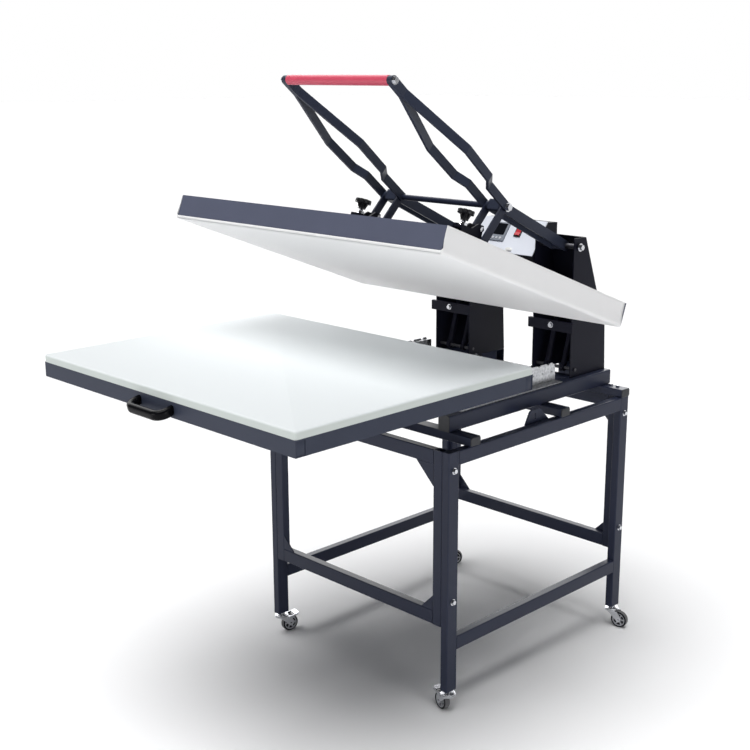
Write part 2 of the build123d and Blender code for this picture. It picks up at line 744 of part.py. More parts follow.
# Cross pins in the tails, bracket bolts and base screws on the upper platen
spring_x = 30
strut_radius = 9
eye_width = 12
head_pin_half = spring_x + eye_width / 2 + 3
with BuildPart() as platen_fasteners:
    with BuildSketch(press_side.offset(arm_x - head_pin_half)):
        with Locations((tail_v, tail_w)):
            Circle(spring_pin)
    extrude(amount=2 * head_pin_half)
    with BuildSketch(press_side.offset(arm_x - bracket_half)):
        with Locations((ear_v - 9, ear_top - 12)):
            Circle(5)
    extrude(amount=2 * bracket_half)
    for start in (arm_x - bracket_half - 5, arm_x + bracket_half):
        with BuildSketch(press_side.offset(start)):
            with Locations((ear_v - 9, ear_top - 12)):
                RegularPolygon(8, 6)
        extrude(amount=5)
    with BuildSketch(press_plane.offset(upper_top + bracket_base)):
        with Locations(*[(arm_x + side * 30, v) for side in (-1, 1) for v in (screw_v - 22, foot_v + 34)]):
            RegularPolygon(bolt_head / 2, 6)
    extrude(amount=5)
    with BuildSketch(press_plane.offset(upper_top + strap_sheet)):
        with Locations(*[(arm_x + side * 28, v) for side in (-1, 1) for v in (strap_front + 30, upper_back - 30)]):
            RegularPolygon(bolt_head / 2, 6)
    extrude(amount=5)
    mirror(about=Plane.YZ)
platen_fasteners.part.label = "platen_fasteners"
export_step(platen_fasteners.part, "parts/platen_fasteners.step")

# Pressure knobs: star grip, hub, screw with a foot disc, and lock nut
knob_radius = 24
knob_height = 22
knob_w = upper_top + 106
foot_gap = 0.3
for knob_label, side in (("knob_left", -1), ("knob_right", 1)):
    with BuildPart() as knob:
        with BuildSketch(press_plane.offset(knob_w)):
            with Locations((side * arm_x, screw_v)):
                Circle(knob_radius)
                with PolarLocations(knob_radius + 4, 10):
                    Circle(6, mode=Mode.SUBTRACT)
        extrude(amount=knob_height)
        fillet(knob.faces().sort_by(Axis.Z)[-1].edges(), 2)
        with BuildSketch(press_plane.offset(bracket_top + 14)):
            with Locations((side * arm_x, screw_v)):
                Circle(12)
        extrude(amount=knob_w - bracket_top - 14)
        with BuildSketch(press_plane.offset(upper_top + bracket_base + foot_gap)):
            with Locations((side * arm_x, screw_v)):
                Circle(11)
        extrude(amount=5)
        with BuildSketch(press_plane.offset(upper_top + bracket_base + foot_gap)):
            with Locations((side * arm_x, screw_v)):
                Circle(screw_radius)
        extrude(amount=knob_w - upper_top - bracket_base)
        with BuildSketch(press_plane.offset(bracket_top + foot_gap)):
            with Locations((side * arm_x, screw_v)):
                RegularPolygon(11, 6)
        extrude(amount=9)
    knob.part.label = knob_label
    export_step(knob.part, f"parts/{knob_label}.step")

# Hand lever: flat bars in the sloping plane from the knee pivot up to the grip
bar_thick = 8
bar_width = 25
rear_arm_thick = 6
rear_arm_width = 30
link_thick = 6
link_width = 25
side_gap = 0.5
rear_arm_off = 23
link_off = rear_arm_off + rear_arm_thick / 2 + side_gap + link_thick / 2
bar_off = link_off + link_thick / 2 + side_gap + bar_thick / 2
bow_off = 66
tube_radius = 8.5
grip_rod = 6
handle_length = math.hypot(grip_y - knee_y, grip_z - knee_z)
handle_plane = Plane(
    origin=(0, knee_y, knee_z),
    x_dir=(1, 0, 0),
    z_dir=(0, -(grip_z - knee_z), grip_y - knee_y),
)

handle_angle = math.degrees(math.atan2(grip_z - knee_z, grip_y - knee_y))

with BuildPart() as lever_bars:
    for side in (-1, 1):
        with BuildSketch(handle_plane.offset(-bar_width / 2)):
            with BuildLine():
                Polyline(
                    (arm_x + side * bar_off, -bar_width),
                    (arm_x + side * bar_off, 100),
                    (arm_x + side * (bow_off - 4), 138),
                    (arm_x + side * bow_off, 260),
                    (arm_x + side * (bar_thick / 2), handle_length - 50),
                    (arm_x + side * (bar_thick / 2), handle_length + bar_width),
                )
                offset(amount=bar_thick / 2, side=Side.BOTH)
            make_face()
        extrude(amount=bar_width)
    # ends rounded about the two pivots, with their bores
    with BuildSketch(Plane.YZ.offset(arm_x - 90)):
        with Locations(((knee_y + grip_y) / 2, (knee_z + grip_z) / 2)):
            SlotCenterToCenter(handle_length, bar_width, rotation=handle_angle)
        with Locations((knee_y, knee_z)):
            Circle(tube_radius, mode=Mode.SUBTRACT)
        with Locations((grip_y, grip_z)):
            Circle(grip_rod, mode=Mode.SUBTRACT)
    extrude(amount=180, mode=Mode.INTERSECT)
    mirror(about=Plane.YZ)
lever_bars.part.label = "lever_bars"
export_step(lever_bars.part, "parts/lever_bars.step")

# Rear arms from the knee pivot back into the towers, in pairs tied by a block and a sleeve
block_size = 34
rear_length = math.hypot(lever_y - knee_y, lever_z - knee_z)
rear_angle = math.degrees(math.atan2(lever_z - knee_z, lever_y - knee_y))
with BuildPart() as rear_arms:
    for off in (-rear_arm_off, rear_arm_off):
        with BuildSketch(Plane.YZ.offset(arm_x + off - rear_arm_thick / 2)):
            with Locations(((knee_y + lever_y) / 2, (knee_z + lever_z) / 2)):
                SlotCenterToCenter(rear_length, rear_arm_width, rotation=rear_angle)
            with Locations((knee_y, knee_z)):
                Circle(tube_radius, mode=Mode.SUBTRACT)
            with Locations((lever_y, lever_z)):
                Circle(pivot_pin + 0.1, mode=Mode.SUBTRACT)
        extrude(amount=rear_arm_thick)
    # block round the knee tube, between the two bars
    with BuildSketch(Plane.YZ.offset(arm_x - rear_arm_off + rear_arm_thick / 2)):
        with Locations((knee_y + 4, knee_z - 1)):
            RectangleRounded(block_size, block_size, 5, rotation=rear_angle)
        with Locations((knee_y, knee_z)):
            Circle(tube_radius, mode=Mode.SUBTRACT)
    extrude(amount=2 * rear_arm_off - rear_arm_thick)
    # spacer sleeve on the lever pivot
    with BuildSketch(Plane.YZ.offset(arm_x - rear_arm_off + rear_arm_thick / 2)):
        with Locations((lever_y, lever_z)):
            Circle(13)
            Circle(pivot_pin + 0.1, mode=Mode.SUBTRACT)
    extrude(amount=2 * rear_arm_off - rear_arm_thick)
    mirror(about=Plane.YZ)
rear_arms.part.label = "rear_arms"
export_step(rear_arms.part, "parts/rear_arms.step")

# Round tube across the press through both knees
knee_tube_half = arm_x + bar_off + bar_thick / 2
with BuildPart() as knee_tube:
    with BuildSketch(Plane.YZ.offset(-knee_tube_half)):
        with Locations((knee_y, knee_z)):
            Circle(tube_radius)
            Circle(tube_radius - 2.5, mode=Mode.SUBTRACT)
    extrude(amount=2 * knee_tube_half)
knee_tube.part.label = "knee_tube"
export_step(knee_tube.part, "parts/knee_tube.step")

# Grip rod across the lever with its coloured sleeve between the arms
grip_radius = 13.5
rod_half = arm_x + bar_thick
sleeve_half = arm_x - bar_thick
with BuildPart() as grip_core:
    with BuildSketch(Plane.YZ.offset(-rod_half)):
        with Locations((grip_y, grip_z)):
            Circle(grip_rod)
    extrude(amount=2 * rod_half)
grip_core.part.label = "grip_core"
export_step(grip_core.part, "parts/grip_core.step")

with BuildPart() as grip_sleeve:
    with BuildSketch(Plane.YZ.offset(-sleeve_half)):
        with Locations((grip_y, grip_z)):
            Circle(grip_radius)
    extrude(amount=2 * sleeve_half)
    fillet(grip_sleeve.edges().filter_by(GeomType.CIRCLE), 2)
    with BuildSketch(Plane.YZ.offset(-sleeve_half)):
        with Locations((grip_y, grip_z)):
            Circle(grip_rod)
    extrude(amount=2 * sleeve_half, mode=Mode.SUBTRACT)
grip_sleeve.part.label = "grip_sleeve"
export_step(grip_sleeve.part, "parts/grip_sleeve.step")

# Chrome bolts and washers of the lever, at the knees and at the grip's ends
with BuildPart() as lever_bolts:
    for start, pivot_y, pivot_z, disc, size in (
        (knee_tube_half, knee_y, knee_z, 13, 10),
        (rod_half, grip_y, grip_z, 11, 8),
    ):
        with BuildSketch(Plane.YZ.offset(start)):
            with Locations((pivot_y, pivot_z)):
                Circle(disc)
        extrude(amount=2)
        with BuildSketch(Plane.YZ.offset(start + 2)):
            with Locations((pivot_y, pivot_z)):
                RegularPolygon(size, 6)
        extrude(amount=7)
    mirror(about=Plane.YZ)
lever_bolts.part.label = "lever_bolts"
export_step(lever_bolts.part, "parts/lever_bolts.step")

# Toggle links from the knees down to the pressure brackets, with their foot pins
link_length = math.hypot(link_foot_y - knee_y, link_foot_z - knee_z)
link_angle = math.degrees(math.atan2(link_foot_z - knee_z, link_foot_y - knee_y))
link_inner = link_off - link_thick / 2
foot_washer = link_inner - bracket_half - side_gap
with BuildPart() as links:
    for off in (-link_off, link_off):
        with BuildSketch(Plane.YZ.offset(arm_x + off - link_thick / 2)):
            with Locations(((knee_y + link_foot_y) / 2, (knee_z + link_foot_z) / 2)):
                SlotCenterToCenter(link_length, link_width, rotation=link_angle)
            with Locations((knee_y, knee_z)):
                Circle(tube_radius + 0.1, mode=Mode.SUBTRACT)
            with Locations((link_foot_y, link_foot_z)):
                Circle(link_pin, mode=Mode.SUBTRACT)
        extrude(amount=link_thick)
    # foot pin, with a thick washer on each side of the bracket
    with BuildSketch(Plane.YZ.offset(arm_x - link_off - link_thick / 2)):
        with Locations((link_foot_y, link_foot_z)):
            Circle(link_pin)
    extrude(amount=2 * link_off + link_thick)
    for start in (arm_x - link_inner, arm_x + link_inner - foot_washer):
        with BuildSketch(Plane.YZ.offset(start)):
            with Locations((link_foot_y, link_foot_z)):
                Circle(link_pin + link_pin_play + 2.5)
        extrude(amount=foot_washer)
    mirror(about=Plane.YZ)
links.part.label = "links"
export_step(links.part, "parts/links.step")

# Pull springs, two in each tower: gas cylinders below, rods with eyes above
spring_reach = math.hypot(spring_head_y - spring_foot_y, spring_head_z - spring_foot_z)
spring_plane = Plane(
    origin=(0, spring_foot_y, spring_foot_z),
    x_dir=(1, 0, 0),
    z_dir=(0, spring_head_y - spring_foot_y, spring_head_z - spring_foot_z),
)
cylinder_length = 150
head_play = 1.5
rod_bore = 4
rod_radius = rod_bore - 0.05
rod_length = 110
spring_places = [(side * (arm_x + off), 0) for side in (-1, 1) for off in (-spring_x, spring_x)]
with BuildPart() as gas_cylinders:
    with BuildSketch(spring_plane.offset(10)):
        with Locations(*spring_places):
            Circle(strut_radius)
    tube_blank = extrude(amount=cylinder_length)
    fillet(tube_blank.edges().group_by(Axis.Z)[-1], 2)
    # bore that the rod slides in, closed again at the foot
    with BuildSketch(spring_plane.offset(9)):
        with Locations(*spring_places):
            Circle(rod_bore)
    extrude(amount=cylinder_length + 2, mode=Mode.SUBTRACT)
    with BuildSketch(spring_plane.offset(10)):
        with Locations(*spring_places):
            Circle(strut_radius)
    extrude(amount=4)
    for place in spring_places:
        with BuildSketch(Plane.YZ.offset(place[0] - eye_width / 2)):
            with Locations((spring_foot_y, spring_foot_z)):
                Circle(strut_radius + 2)
        extrude(amount=eye_width)
        with BuildSketch(Plane.YZ.offset(place[0] - eye_width / 2)):
            with Locations((spring_foot_y, spring_foot_z)):
                Circle(spring_pin + 0.1)
        extrude(amount=eye_width, mode=Mode.SUBTRACT)
gas_cylinders.part.label = "gas_cylinders"
export_step(gas_cylinders.part, "parts/gas_cylinders.step")

with BuildPart() as gas_rods:
    with BuildSketch(spring_plane.offset(spring_reach - rod_length)):
        with Locations(*spring_places):
            Circle(rod_radius)
    extrude(amount=rod_length - strut_radius + 2)
    for place in spring_places:
        with BuildSketch(Plane.YZ.offset(place[0] - eye_width / 2)):
            with Locations((spring_head_y, spring_head_z)):
                Circle(strut_radius + 2)
        extrude(amount=eye_width)
        with BuildSketch(Plane.YZ.offset(place[0] - eye_width / 2)):
            with Locations((spring_head_y, spring_head_z)):
                Circle(spring_pin + head_play)
        extrude(amount=eye_width, mode=Mode.SUBTRACT)
gas_rods.part.label = "gas_rods"
export_step(gas_rods.part, "parts/gas_rods.step")

# Control box between the towers, with a leaning front panel
box_half = 124
panel_low_y = stand_front + 630
panel_low_z = 1174
panel_high_y = stand_front + 702
panel_high_z = 1270
box_back = stand_front + 749
box_floor = 1146
panel_sheet = 3
panel_length = math.hypot(panel_high_y - panel_low_y, panel_high_z - panel_low_z)
panel_plane = Plane(
    origin=(0, (panel_low_y + panel_high_y) / 2, (panel_low_z + panel_high_z) / 2),
    x_dir=(1, 0, 0),
    z_dir=(0, -(panel_high_z - panel_low_z), panel_high_y - panel_low_y),
)

with BuildPart() as control_box:
    with BuildSketch(Plane.YZ.offset(-box_half)):
        with BuildLine():
            Polyline(
                (panel_low_y, panel_low_z),
                (panel_high_y, panel_high_z),
                (box_back, panel_high_z - 3),
                (box_back, box_floor),
                (panel_low_y + 14, box_floor),
                close=True,
            )
        make_face()
    extrude(amount=2 * box_half)
    box_room = offset(amount=-2, mode=Mode.PRIVATE)
    add(box_room, mode=Mode.SUBTRACT)
    # one opening behind the panel for the display and the switches
    with BuildSketch(panel_plane.offset(-6)):
        with Locations((0, 0)):
            Rectangle(2 * box_half - 40, panel_length - 12)
    extrude(amount=6, mode=Mode.SUBTRACT)
    # bosses that rest against the tower walls
    for side in (-1, 1):
        with BuildSketch(Plane.YZ.offset(side * box_half)):
            with Locations((box_back - 30, box_floor + 20), (box_back - 30, box_floor + 78)):
                Circle(8)
        extrude(amount=side * (tower_inner - box_half))
control_box.part.label = "control_box"
export_step(control_box.part, "parts/control_box.step")

panel_axis = Axis(panel_plane.origin, panel_plane.z_dir)
display_x = -41
display_v = 9
display_width = 72
display_height = 66
window_width = 58
window_height = 40
window_v = display_v + 8
rocker_x = 37
rocker_v = 13
rocker_width = 25
rocker_height = 32
lamp_x = 30
lamp_v = -48
lamp_length = 25
lamp_height = 12
key_radius = 4
key_v = display_v - 23
key_pitch = 14
key_gap = 0.3
key_names = ["key_first", "key_second", "key_third", "key_fourth"]
key_x = [display_x + (number - 1.5) * key_pitch for number in range(4)]
bezel_rise = 4
frame_lip = 2.5

with BuildPart() as control_panel:
    with BuildSketch(panel_plane):
        RectangleRounded(2 * box_half, panel_length, 2)
        with Locations((display_x, display_v)):
            Rectangle(display_width - 8, display_height - 8, mode=Mode.SUBTRACT)
        with Locations((rocker_x, rocker_v)):
            Rectangle(rocker_width - 3, rocker_height - 3, mode=Mode.SUBTRACT)
        with Locations((lamp_x, lamp_v)):
            SlotOverall(lamp_length - 4, lamp_height - 4, mode=Mode.SUBTRACT)
    extrude(amount=panel_sheet)
control_panel.part.label = "control_panel"
export_step(control_panel.part, "parts/control_panel.step")

with BuildPart() as display_bezel:
    with BuildSketch(panel_plane.offset(panel_sheet)):
        with Locations((display_x, display_v)):
            RectangleRounded(display_width, display_height, 3)
        with Locations((display_x, window_v)):
            Rectangle(window_width, window_height, mode=Mode.SUBTRACT)
        with Locations(*[(x, key_v) for x in key_x]):
            Circle(key_radius + key_gap, mode=Mode.SUBTRACT)
    extrude(amount=bezel_rise)
    chamfer(display_bezel.faces().sort_by(panel_axis)[-1].outer_wire().edges(), 1.2)
    # body behind the panel
    with BuildSketch(panel_plane.offset(panel_sheet)):
        with Locations((display_x, display_v)):
            Rectangle(display_width - 8, display_height - 8)
    extrude(amount=-panel_sheet)
display_bezel.part.label = "display_bezel"
export_step(display_bezel.part, "parts/display_bezel.step")

with BuildPart() as display_screen:
    with BuildSketch(panel_plane.offset(panel_sheet)):
        with Locations((display_x, window_v)):
            Rectangle(window_width, window_height)
    extrude(amount=bezel_rise - 1.5)
display_screen.part.label = "display_screen"
export_step(display_screen.part, "parts/display_screen.step")

# Four push keys under the screen, each with its own small stroke
key_stroke = 1
for key_label, x in zip(key_names, key_x):
    with BuildPart() as key:
        with BuildSketch(panel_plane.offset(panel_sheet + key_stroke + 0.3)):
            with Locations((x, key_v)):
                Circle(key_radius)
        extrude(amount=bezel_rise)
        fillet(key.edges().filter_by(GeomType.CIRCLE).sort_by(panel_axis)[-1], 0.8)
    key.part.label = key_label
    export_step(key.part, f"parts/{key_label}.step")

# Rocker switch: a frame in the panel and a rocker on a cross pivot
rocker_sink = 4
rocker_side_gap = 0.5
with BuildPart() as rocker_frame:
    with BuildSketch(panel_plane.offset(panel_sheet)):
        with Locations((rocker_x, rocker_v)):
            RectangleRounded(rocker_width, rocker_height, 2)
            Rectangle(rocker_width - 5, rocker_height - 5, mode=Mode.SUBTRACT)
    extrude(amount=frame_lip)
    with BuildSketch(panel_plane.offset(panel_sheet)):
        with Locations((rocker_x, rocker_v)):
            Rectangle(rocker_width - 3, rocker_height - 3)
            Rectangle(rocker_width - 5, rocker_height - 5, mode=Mode.SUBTRACT)
    extrude(amount=-12)
rocker_frame.part.label = "rocker_frame"
export_step(rocker_frame.part, "parts/rocker_frame.step")

rocker_body_width = rocker_width - 5 - 2 * rocker_side_gap
rocker_body_length = rocker_height - 5 - 5
rocker_plane = Plane(
    origin=panel_plane.offset(panel_sheet).from_local_coords(Vector(rocker_x - rocker_body_width / 2, rocker_v, 0)),
    x_dir=panel_plane.y_dir,
    z_dir=(1, 0, 0),
)
with BuildPart() as rocker:
    with BuildSketch(rocker_plane):
        with BuildLine():
            Polyline(
                (-rocker_body_length / 2, -5),
                (rocker_body_length / 2, -5),
                (rocker_body_length / 2, 2),
                (0, 3),
                (-rocker_body_length / 2, 6),
                close=True,
            )
        make_face()
    extrude(amount=rocker_body_width)
    # short pivot stubs that reach the frame
    with BuildSketch(rocker_plane.offset(-rocker_side_gap)):
        with Locations((0, -2)):
            Circle(1.5)
    extrude(amount=rocker_body_width + 2 * rocker_side_gap)
rocker.part.label = "rocker"
export_step(rocker.part, "parts/rocker.step")

with BuildPart() as indicator_lamp:
    with BuildSketch(panel_plane.offset(panel_sheet)):
        with Locations((lamp_x, lamp_v)):
            SlotOverall(lamp_length, lamp_height)
    extrude(amount=2)
    with BuildSketch(panel_plane.offset(panel_sheet)):
        with Locations((lamp_x, lamp_v)):
            SlotOverall(lamp_length - 4, lamp_height - 4)
    extrude(amount=4, both=True)
    fillet(indicator_lamp.edges().sort_by(panel_axis)[-1], 1)
indicator_lamp.part.label = "indicator_lamp"
export_step(indicator_lamp.part, "parts/indicator_lamp.step")

# Power inlet on the rear of the control box
inlet_x = 60
inlet_z = box_floor + 50
with BuildPart() as power_inlet:
    with BuildSketch(Plane.XZ.offset(-box_back)):
        with Locations((inlet_x, inlet_z)):
            RectangleRounded(50, 34, 4)
            Rectangle(28, 20, mode=Mode.SUBTRACT)
    extrude(amount=-4)
    with BuildSketch(Plane.XZ.offset(-box_back)):
        with Locations((inlet_x, inlet_z)):
            Rectangle(28, 20)
    extrude(amount=-1)
    with BuildSketch(Plane.XZ.offset(-box_back - 1)):
        with Locations((inlet_x - 7, inlet_z - 3), (inlet_x + 7, inlet_z - 3), (inlet_x, inlet_z + 4)):
            Rectangle(2, 6)
    extrude(amount=-3)
power_inlet.part.label = "power_inlet"
export_step(power_inlet.part, "parts/power_inlet.step")

# Casters: fixed stems, swivel forks, wheels and the pedals of the front pair
wheel_radius = 26
wheel_width = 20
caster_trail = 28
fork_plate = 2.5
fork_gap = 0.8
fork_top = 57
fork_crown = 4
crown_radius = 21
raceway = 3.5
stem_radius = 5
axle_radius = 3
fork_outer = wheel_width / 2 + fork_gap + fork_plate
caster_turn = {"front_right": 165, "front_left": 79, "rear_right": 10, "rear_left": 38}
caster_place = {
    "front_right": (leg_x, leg_y[0]),
    "front_left": (-leg_x, leg_y[0]),
    "rear_right": (leg_x, leg_y[1]),
    "rear_left": (-leg_x, leg_y[1]),
}

with BuildPart() as caster_stems:
    with BuildSketch(Plane.XY.offset(fork_top + running_gap)):
        with Locations(*caster_place.values()):
            Circle(stem_radius)
    extrude(amount=caster_height + 6 - fork_top - running_gap)
    with BuildSketch(Plane.XY.offset(fork_top + running_gap)):
        with Locations(*caster_place.values()):
            Circle(crown_radius - 1)
    race_disc = extrude(amount=raceway)
    fillet(race_disc.edges().group_by(Axis.Z)[-1], 1.2)
    with BuildSketch(Plane.XY.offset(fork_top + running_gap + raceway)):
        with Locations(*caster_place.values()):
            Circle(11)
    extrude(amount=caster_height - fork_top - running_gap - raceway)
caster_stems.part.label = "caster_stems"
export_step(caster_stems.part, "parts/caster_stems.step")

for corner, (place_x, place_y) in caster_place.items():
    turn = math.radians(caster_turn[corner])
    along = (math.cos(turn), math.sin(turn), 0)
    across_axis = Axis((0, 0, 0), (-math.sin(turn), math.cos(turn), 0))
    # side view of the caster: local X trails the swivel axis, local Y is up
    side_view = Plane(origin=(place_x, place_y, 0), x_dir=along, z_dir=(along[1], -along[0], 0))
    with BuildPart() as fork:
        with BuildSketch(Plane(origin=(place_x, place_y, fork_top - fork_crown), x_dir=along)):
            Circle(crown_radius)
        extrude(amount=fork_crown)
        with BuildSketch(side_view.offset(-fork_outer)):
            with BuildLine():
                Polyline(
                    (-15, fork_top - fork_crown),
                    (caster_trail - 4, fork_top - fork_crown),
                    (caster_trail + 9, wheel_radius + 8),
                    (caster_trail + 9, wheel_radius),
                    (caster_trail, wheel_radius - 9),
                    (caster_trail - 9, wheel_radius),
                    (-2, fork_top - fork_crown - 8),
                    close=True,
                )
            make_face()
        fork_cheeks = extrude(amount=2 * fork_outer)
        fillet(fork_cheeks.edges().filter_by(across_axis).sort_by(Axis.Z)[:3], 4)
        with BuildSketch(side_view.offset(-wheel_width / 2 - fork_gap)):
            with Locations((caster_trail / 2, (fork_top - fork_crown) / 2)):
                Rectangle(140, fork_top - fork_crown)
        extrude(amount=wheel_width + 2 * fork_gap, mode=Mode.SUBTRACT)
        # axle bolt through both sides
        with BuildSketch(side_view.offset(-fork_outer - 3)):
            with Locations((caster_trail, wheel_radius)):
                Circle(axle_radius)
        extrude(amount=2 * fork_outer + 6)
    fork.part.label = f"fork_{corner}"
    export_step(fork.part, f"parts/fork_{corner}.step")
    with BuildPart() as wheel:
        with BuildSketch(side_view.offset(-wheel_width / 2)):
            with Locations((caster_trail, wheel_radius)):
                Circle(wheel_radius)
        extrude(amount=wheel_width)
        fillet(wheel.edges(), 3)
        with BuildSketch(side_view.offset(-wheel_width / 2)):
            with Locations((caster_trail, wheel_radius)):
                Circle(axle_radius + 0.1)
        extrude(amount=wheel_width, mode=Mode.SUBTRACT)
    wheel.part.label = f"wheel_{corner}"
    export_step(wheel.part, f"parts/wheel_{corner}.step")

# Brake pedals on the front casters, hinged on the forks' rear shoulders
pedal_pivot_u = caster_trail - 7
pedal_pivot_z = fork_top - 7
pedal_reach = 34
for corner in ("front_right", "front_left"):
    place_x, place_y = caster_place[corner]
    turn = math.radians(caster_turn[corner])
    along = (math.cos(turn), math.sin(turn), 0)
    side_view = Plane(origin=(place_x, place_y, 0), x_dir=along, z_dir=(along[1], -along[0], 0))
    with BuildPart() as pedal:
        # foot plate that sticks out over the wheel
        with BuildSketch(side_view.offset(-wheel_width / 2 - 4)):
            with BuildLine():
                Polyline(
                    (pedal_pivot_u + 20, pedal_pivot_z + 2),
                    (pedal_pivot_u + 20, pedal_pivot_z + 4.5),
                    (pedal_pivot_u + pedal_reach, pedal_pivot_z + 9),
                    (pedal_pivot_u + pedal_reach + 1, pedal_pivot_z + 6.5),
                    close=True,
                )
            make_face()
        extrude(amount=wheel_width + 8)
        # two cheeks down the outside of the fork to the pivot
        for start in (-fork_outer - 0.4 - 2, fork_outer + 0.4):
            with BuildSketch(side_view.offset(start)):
                with BuildLine():
                    Polyline(
                        (pedal_pivot_u - 5, pedal_pivot_z - 5),
                        (pedal_pivot_u + 6, pedal_pivot_z - 6),
                        (pedal_pivot_u + 30, pedal_pivot_z + 2),
                        (pedal_pivot_u + 30, pedal_pivot_z + 7),
                        (pedal_pivot_u - 2, pedal_pivot_z + 3),
                        close=True,
                    )
                make_face()
            extrude(amount=2)
        with BuildSketch(side_view.offset(-fork_outer - 2.4)):
            with BuildLine():
                Polyline(
                    (pedal_pivot_u + 20, pedal_pivot_z + 2),
                    (pedal_pivot_u + 30, pedal_pivot_z + 5.2),
                    (pedal_pivot_u + 30, pedal_pivot_z + 7.7),
                    (pedal_pivot_u + 20, pedal_pivot_z + 4.5),
                    close=True,
                )
            make_face()
        extrude(amount=2 * fork_outer + 4.8)
    pedal.part.label = f"pedal_{corner}"
    export_step(pedal.part, f"parts/pedal_{corner}.step")
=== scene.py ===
import bpy
import bmesh
import json
import math
from mathutils import Matrix, Vector


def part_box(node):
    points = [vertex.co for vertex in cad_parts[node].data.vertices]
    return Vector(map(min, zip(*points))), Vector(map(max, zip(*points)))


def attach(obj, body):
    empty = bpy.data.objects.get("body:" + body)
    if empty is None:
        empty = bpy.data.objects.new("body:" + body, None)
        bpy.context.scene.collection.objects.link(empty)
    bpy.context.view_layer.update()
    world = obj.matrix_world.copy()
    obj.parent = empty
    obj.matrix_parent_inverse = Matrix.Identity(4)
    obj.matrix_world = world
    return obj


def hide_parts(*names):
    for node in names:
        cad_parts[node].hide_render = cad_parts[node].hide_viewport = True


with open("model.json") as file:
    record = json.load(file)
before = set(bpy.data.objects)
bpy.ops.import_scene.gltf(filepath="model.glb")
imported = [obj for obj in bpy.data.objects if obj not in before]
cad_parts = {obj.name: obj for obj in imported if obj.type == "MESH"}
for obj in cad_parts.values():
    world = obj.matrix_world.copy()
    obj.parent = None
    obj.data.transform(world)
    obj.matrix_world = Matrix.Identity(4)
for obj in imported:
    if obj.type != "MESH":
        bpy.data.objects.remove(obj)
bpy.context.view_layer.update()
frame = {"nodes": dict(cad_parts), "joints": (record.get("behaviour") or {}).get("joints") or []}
scene = bpy.context.scene
print("frame loaded:", len(frame["nodes"]), "nodes")

# Materials

coatLook = dict(
    grainScale=900.0, grainDetail=2.0, depth=0.0004,
    cloudScale=6.0, cloudDetail=4.0, cloudDark=0.88, cloudLight=1.1,
)
metalLook = dict(grainScale=300.0, grainDetail=2.0, depth=0.0002, grain=0.04)
zincLook = dict(
    color=(0.5, 0.51, 0.53), roughness=0.38, metallic=0.9,
    grainScale=400.0, grainDetail=2.0, depth=0.0003, grain=0.1,
    flakeScale=130.0, flakeDark=(0.36, 0.37, 0.39), flakeLight=(0.68, 0.69, 0.71),
)
plainLook = dict(grainScale=500.0, grainDetail=3.0, depth=0.0004)


def newMaterial(name, color, roughness, metallic=0.0, specular=0.5):
    material = bpy.data.materials.new(name)
    material.use_nodes = True
    shader = material.node_tree.nodes["Principled BSDF"]
    shader.inputs["Base Color"].default_value = (*color, 1)
    shader.inputs["Roughness"].default_value = roughness
    shader.inputs["Metallic"].default_value = metallic
    shader.inputs["Specular IOR Level"].default_value = specular
    return material, material.node_tree, shader


def objectTexture(tree, kind, scale):
    coords = tree.nodes.new("ShaderNodeTexCoord")
    texture = tree.nodes.new(kind)
    texture.inputs["Scale"].default_value = scale
    tree.links.new(coords.outputs["Object"], texture.inputs["Vector"])
    return texture


def objectNoise(tree, scale, detail):
    noise = objectTexture(tree, "ShaderNodeTexNoise", scale)
    noise.inputs["Detail"].default_value = detail
    return noise.outputs["Fac"]


def addBump(tree, shader, height, strength, depth):
    bump = tree.nodes.new("ShaderNodeBump")
    bump.inputs["Strength"].default_value = strength
    bump.inputs["Distance"].default_value = depth
    tree.links.new(height, bump.inputs["Height"])
    tree.links.new(bump.outputs["Normal"], shader.inputs["Normal"])


def addGrain(tree, shader, look, strength):
    noise = objectNoise(tree, look["grainScale"], look["grainDetail"])
    addBump(tree, shader, noise, strength, look["depth"])


def addMottle(tree, shader, factor, dark, light):
    mix = tree.nodes.new("ShaderNodeMix")
    mix.data_type = "RGBA"
    mix.inputs["A"].default_value = (*dark, 1)
    mix.inputs["B"].default_value = (*light, 1)
    tree.links.new(factor, mix.inputs["Factor"])
    tree.links.new(mix.outputs["Result"], shader.inputs["Base Color"])


def powderCoat(name, color, roughness, specular=0.3, grain=0.12):
    material, tree, shader = newMaterial(name, color, roughness, specular=specular)
    addGrain(tree, shader, coatLook, grain)
    cloud = objectNoise(tree, coatLook["cloudScale"], coatLook["cloudDetail"])
    dark = [c * coatLook["cloudDark"] for c in color]
    light = [c * coatLook["cloudLight"] for c in color]
    addMottle(tree, shader, cloud, dark, light)
    return material


def brightMetal(name, color, roughness):
    material, tree, shader = newMaterial(name, color, roughness, metallic=1.0)
    addGrain(tree, shader, metalLook, metalLook["grain"])
    return material


def galvanised(name):
    material, tree, shader = newMaterial(name, zincLook["color"], zincLook["roughness"], zincLook["metallic"])
    flakes = objectTexture(tree, "ShaderNodeTexVoronoi", zincLook["flakeScale"])
    addMottle(tree, shader, flakes.outputs["Distance"], zincLook["flakeDark"], zincLook["flakeLight"])
    addGrain(tree, shader, zincLook, zincLook["grain"])
    return material


def grained(name, color, roughness, grain=0.1, scale=plainLook["grainScale"], specular=0.5):
    material, tree, shader = newMaterial(name, color, roughness, specular=specular)
    addGrain(tree, shader, dict(plainLook, grainScale=scale), grain)
    return material


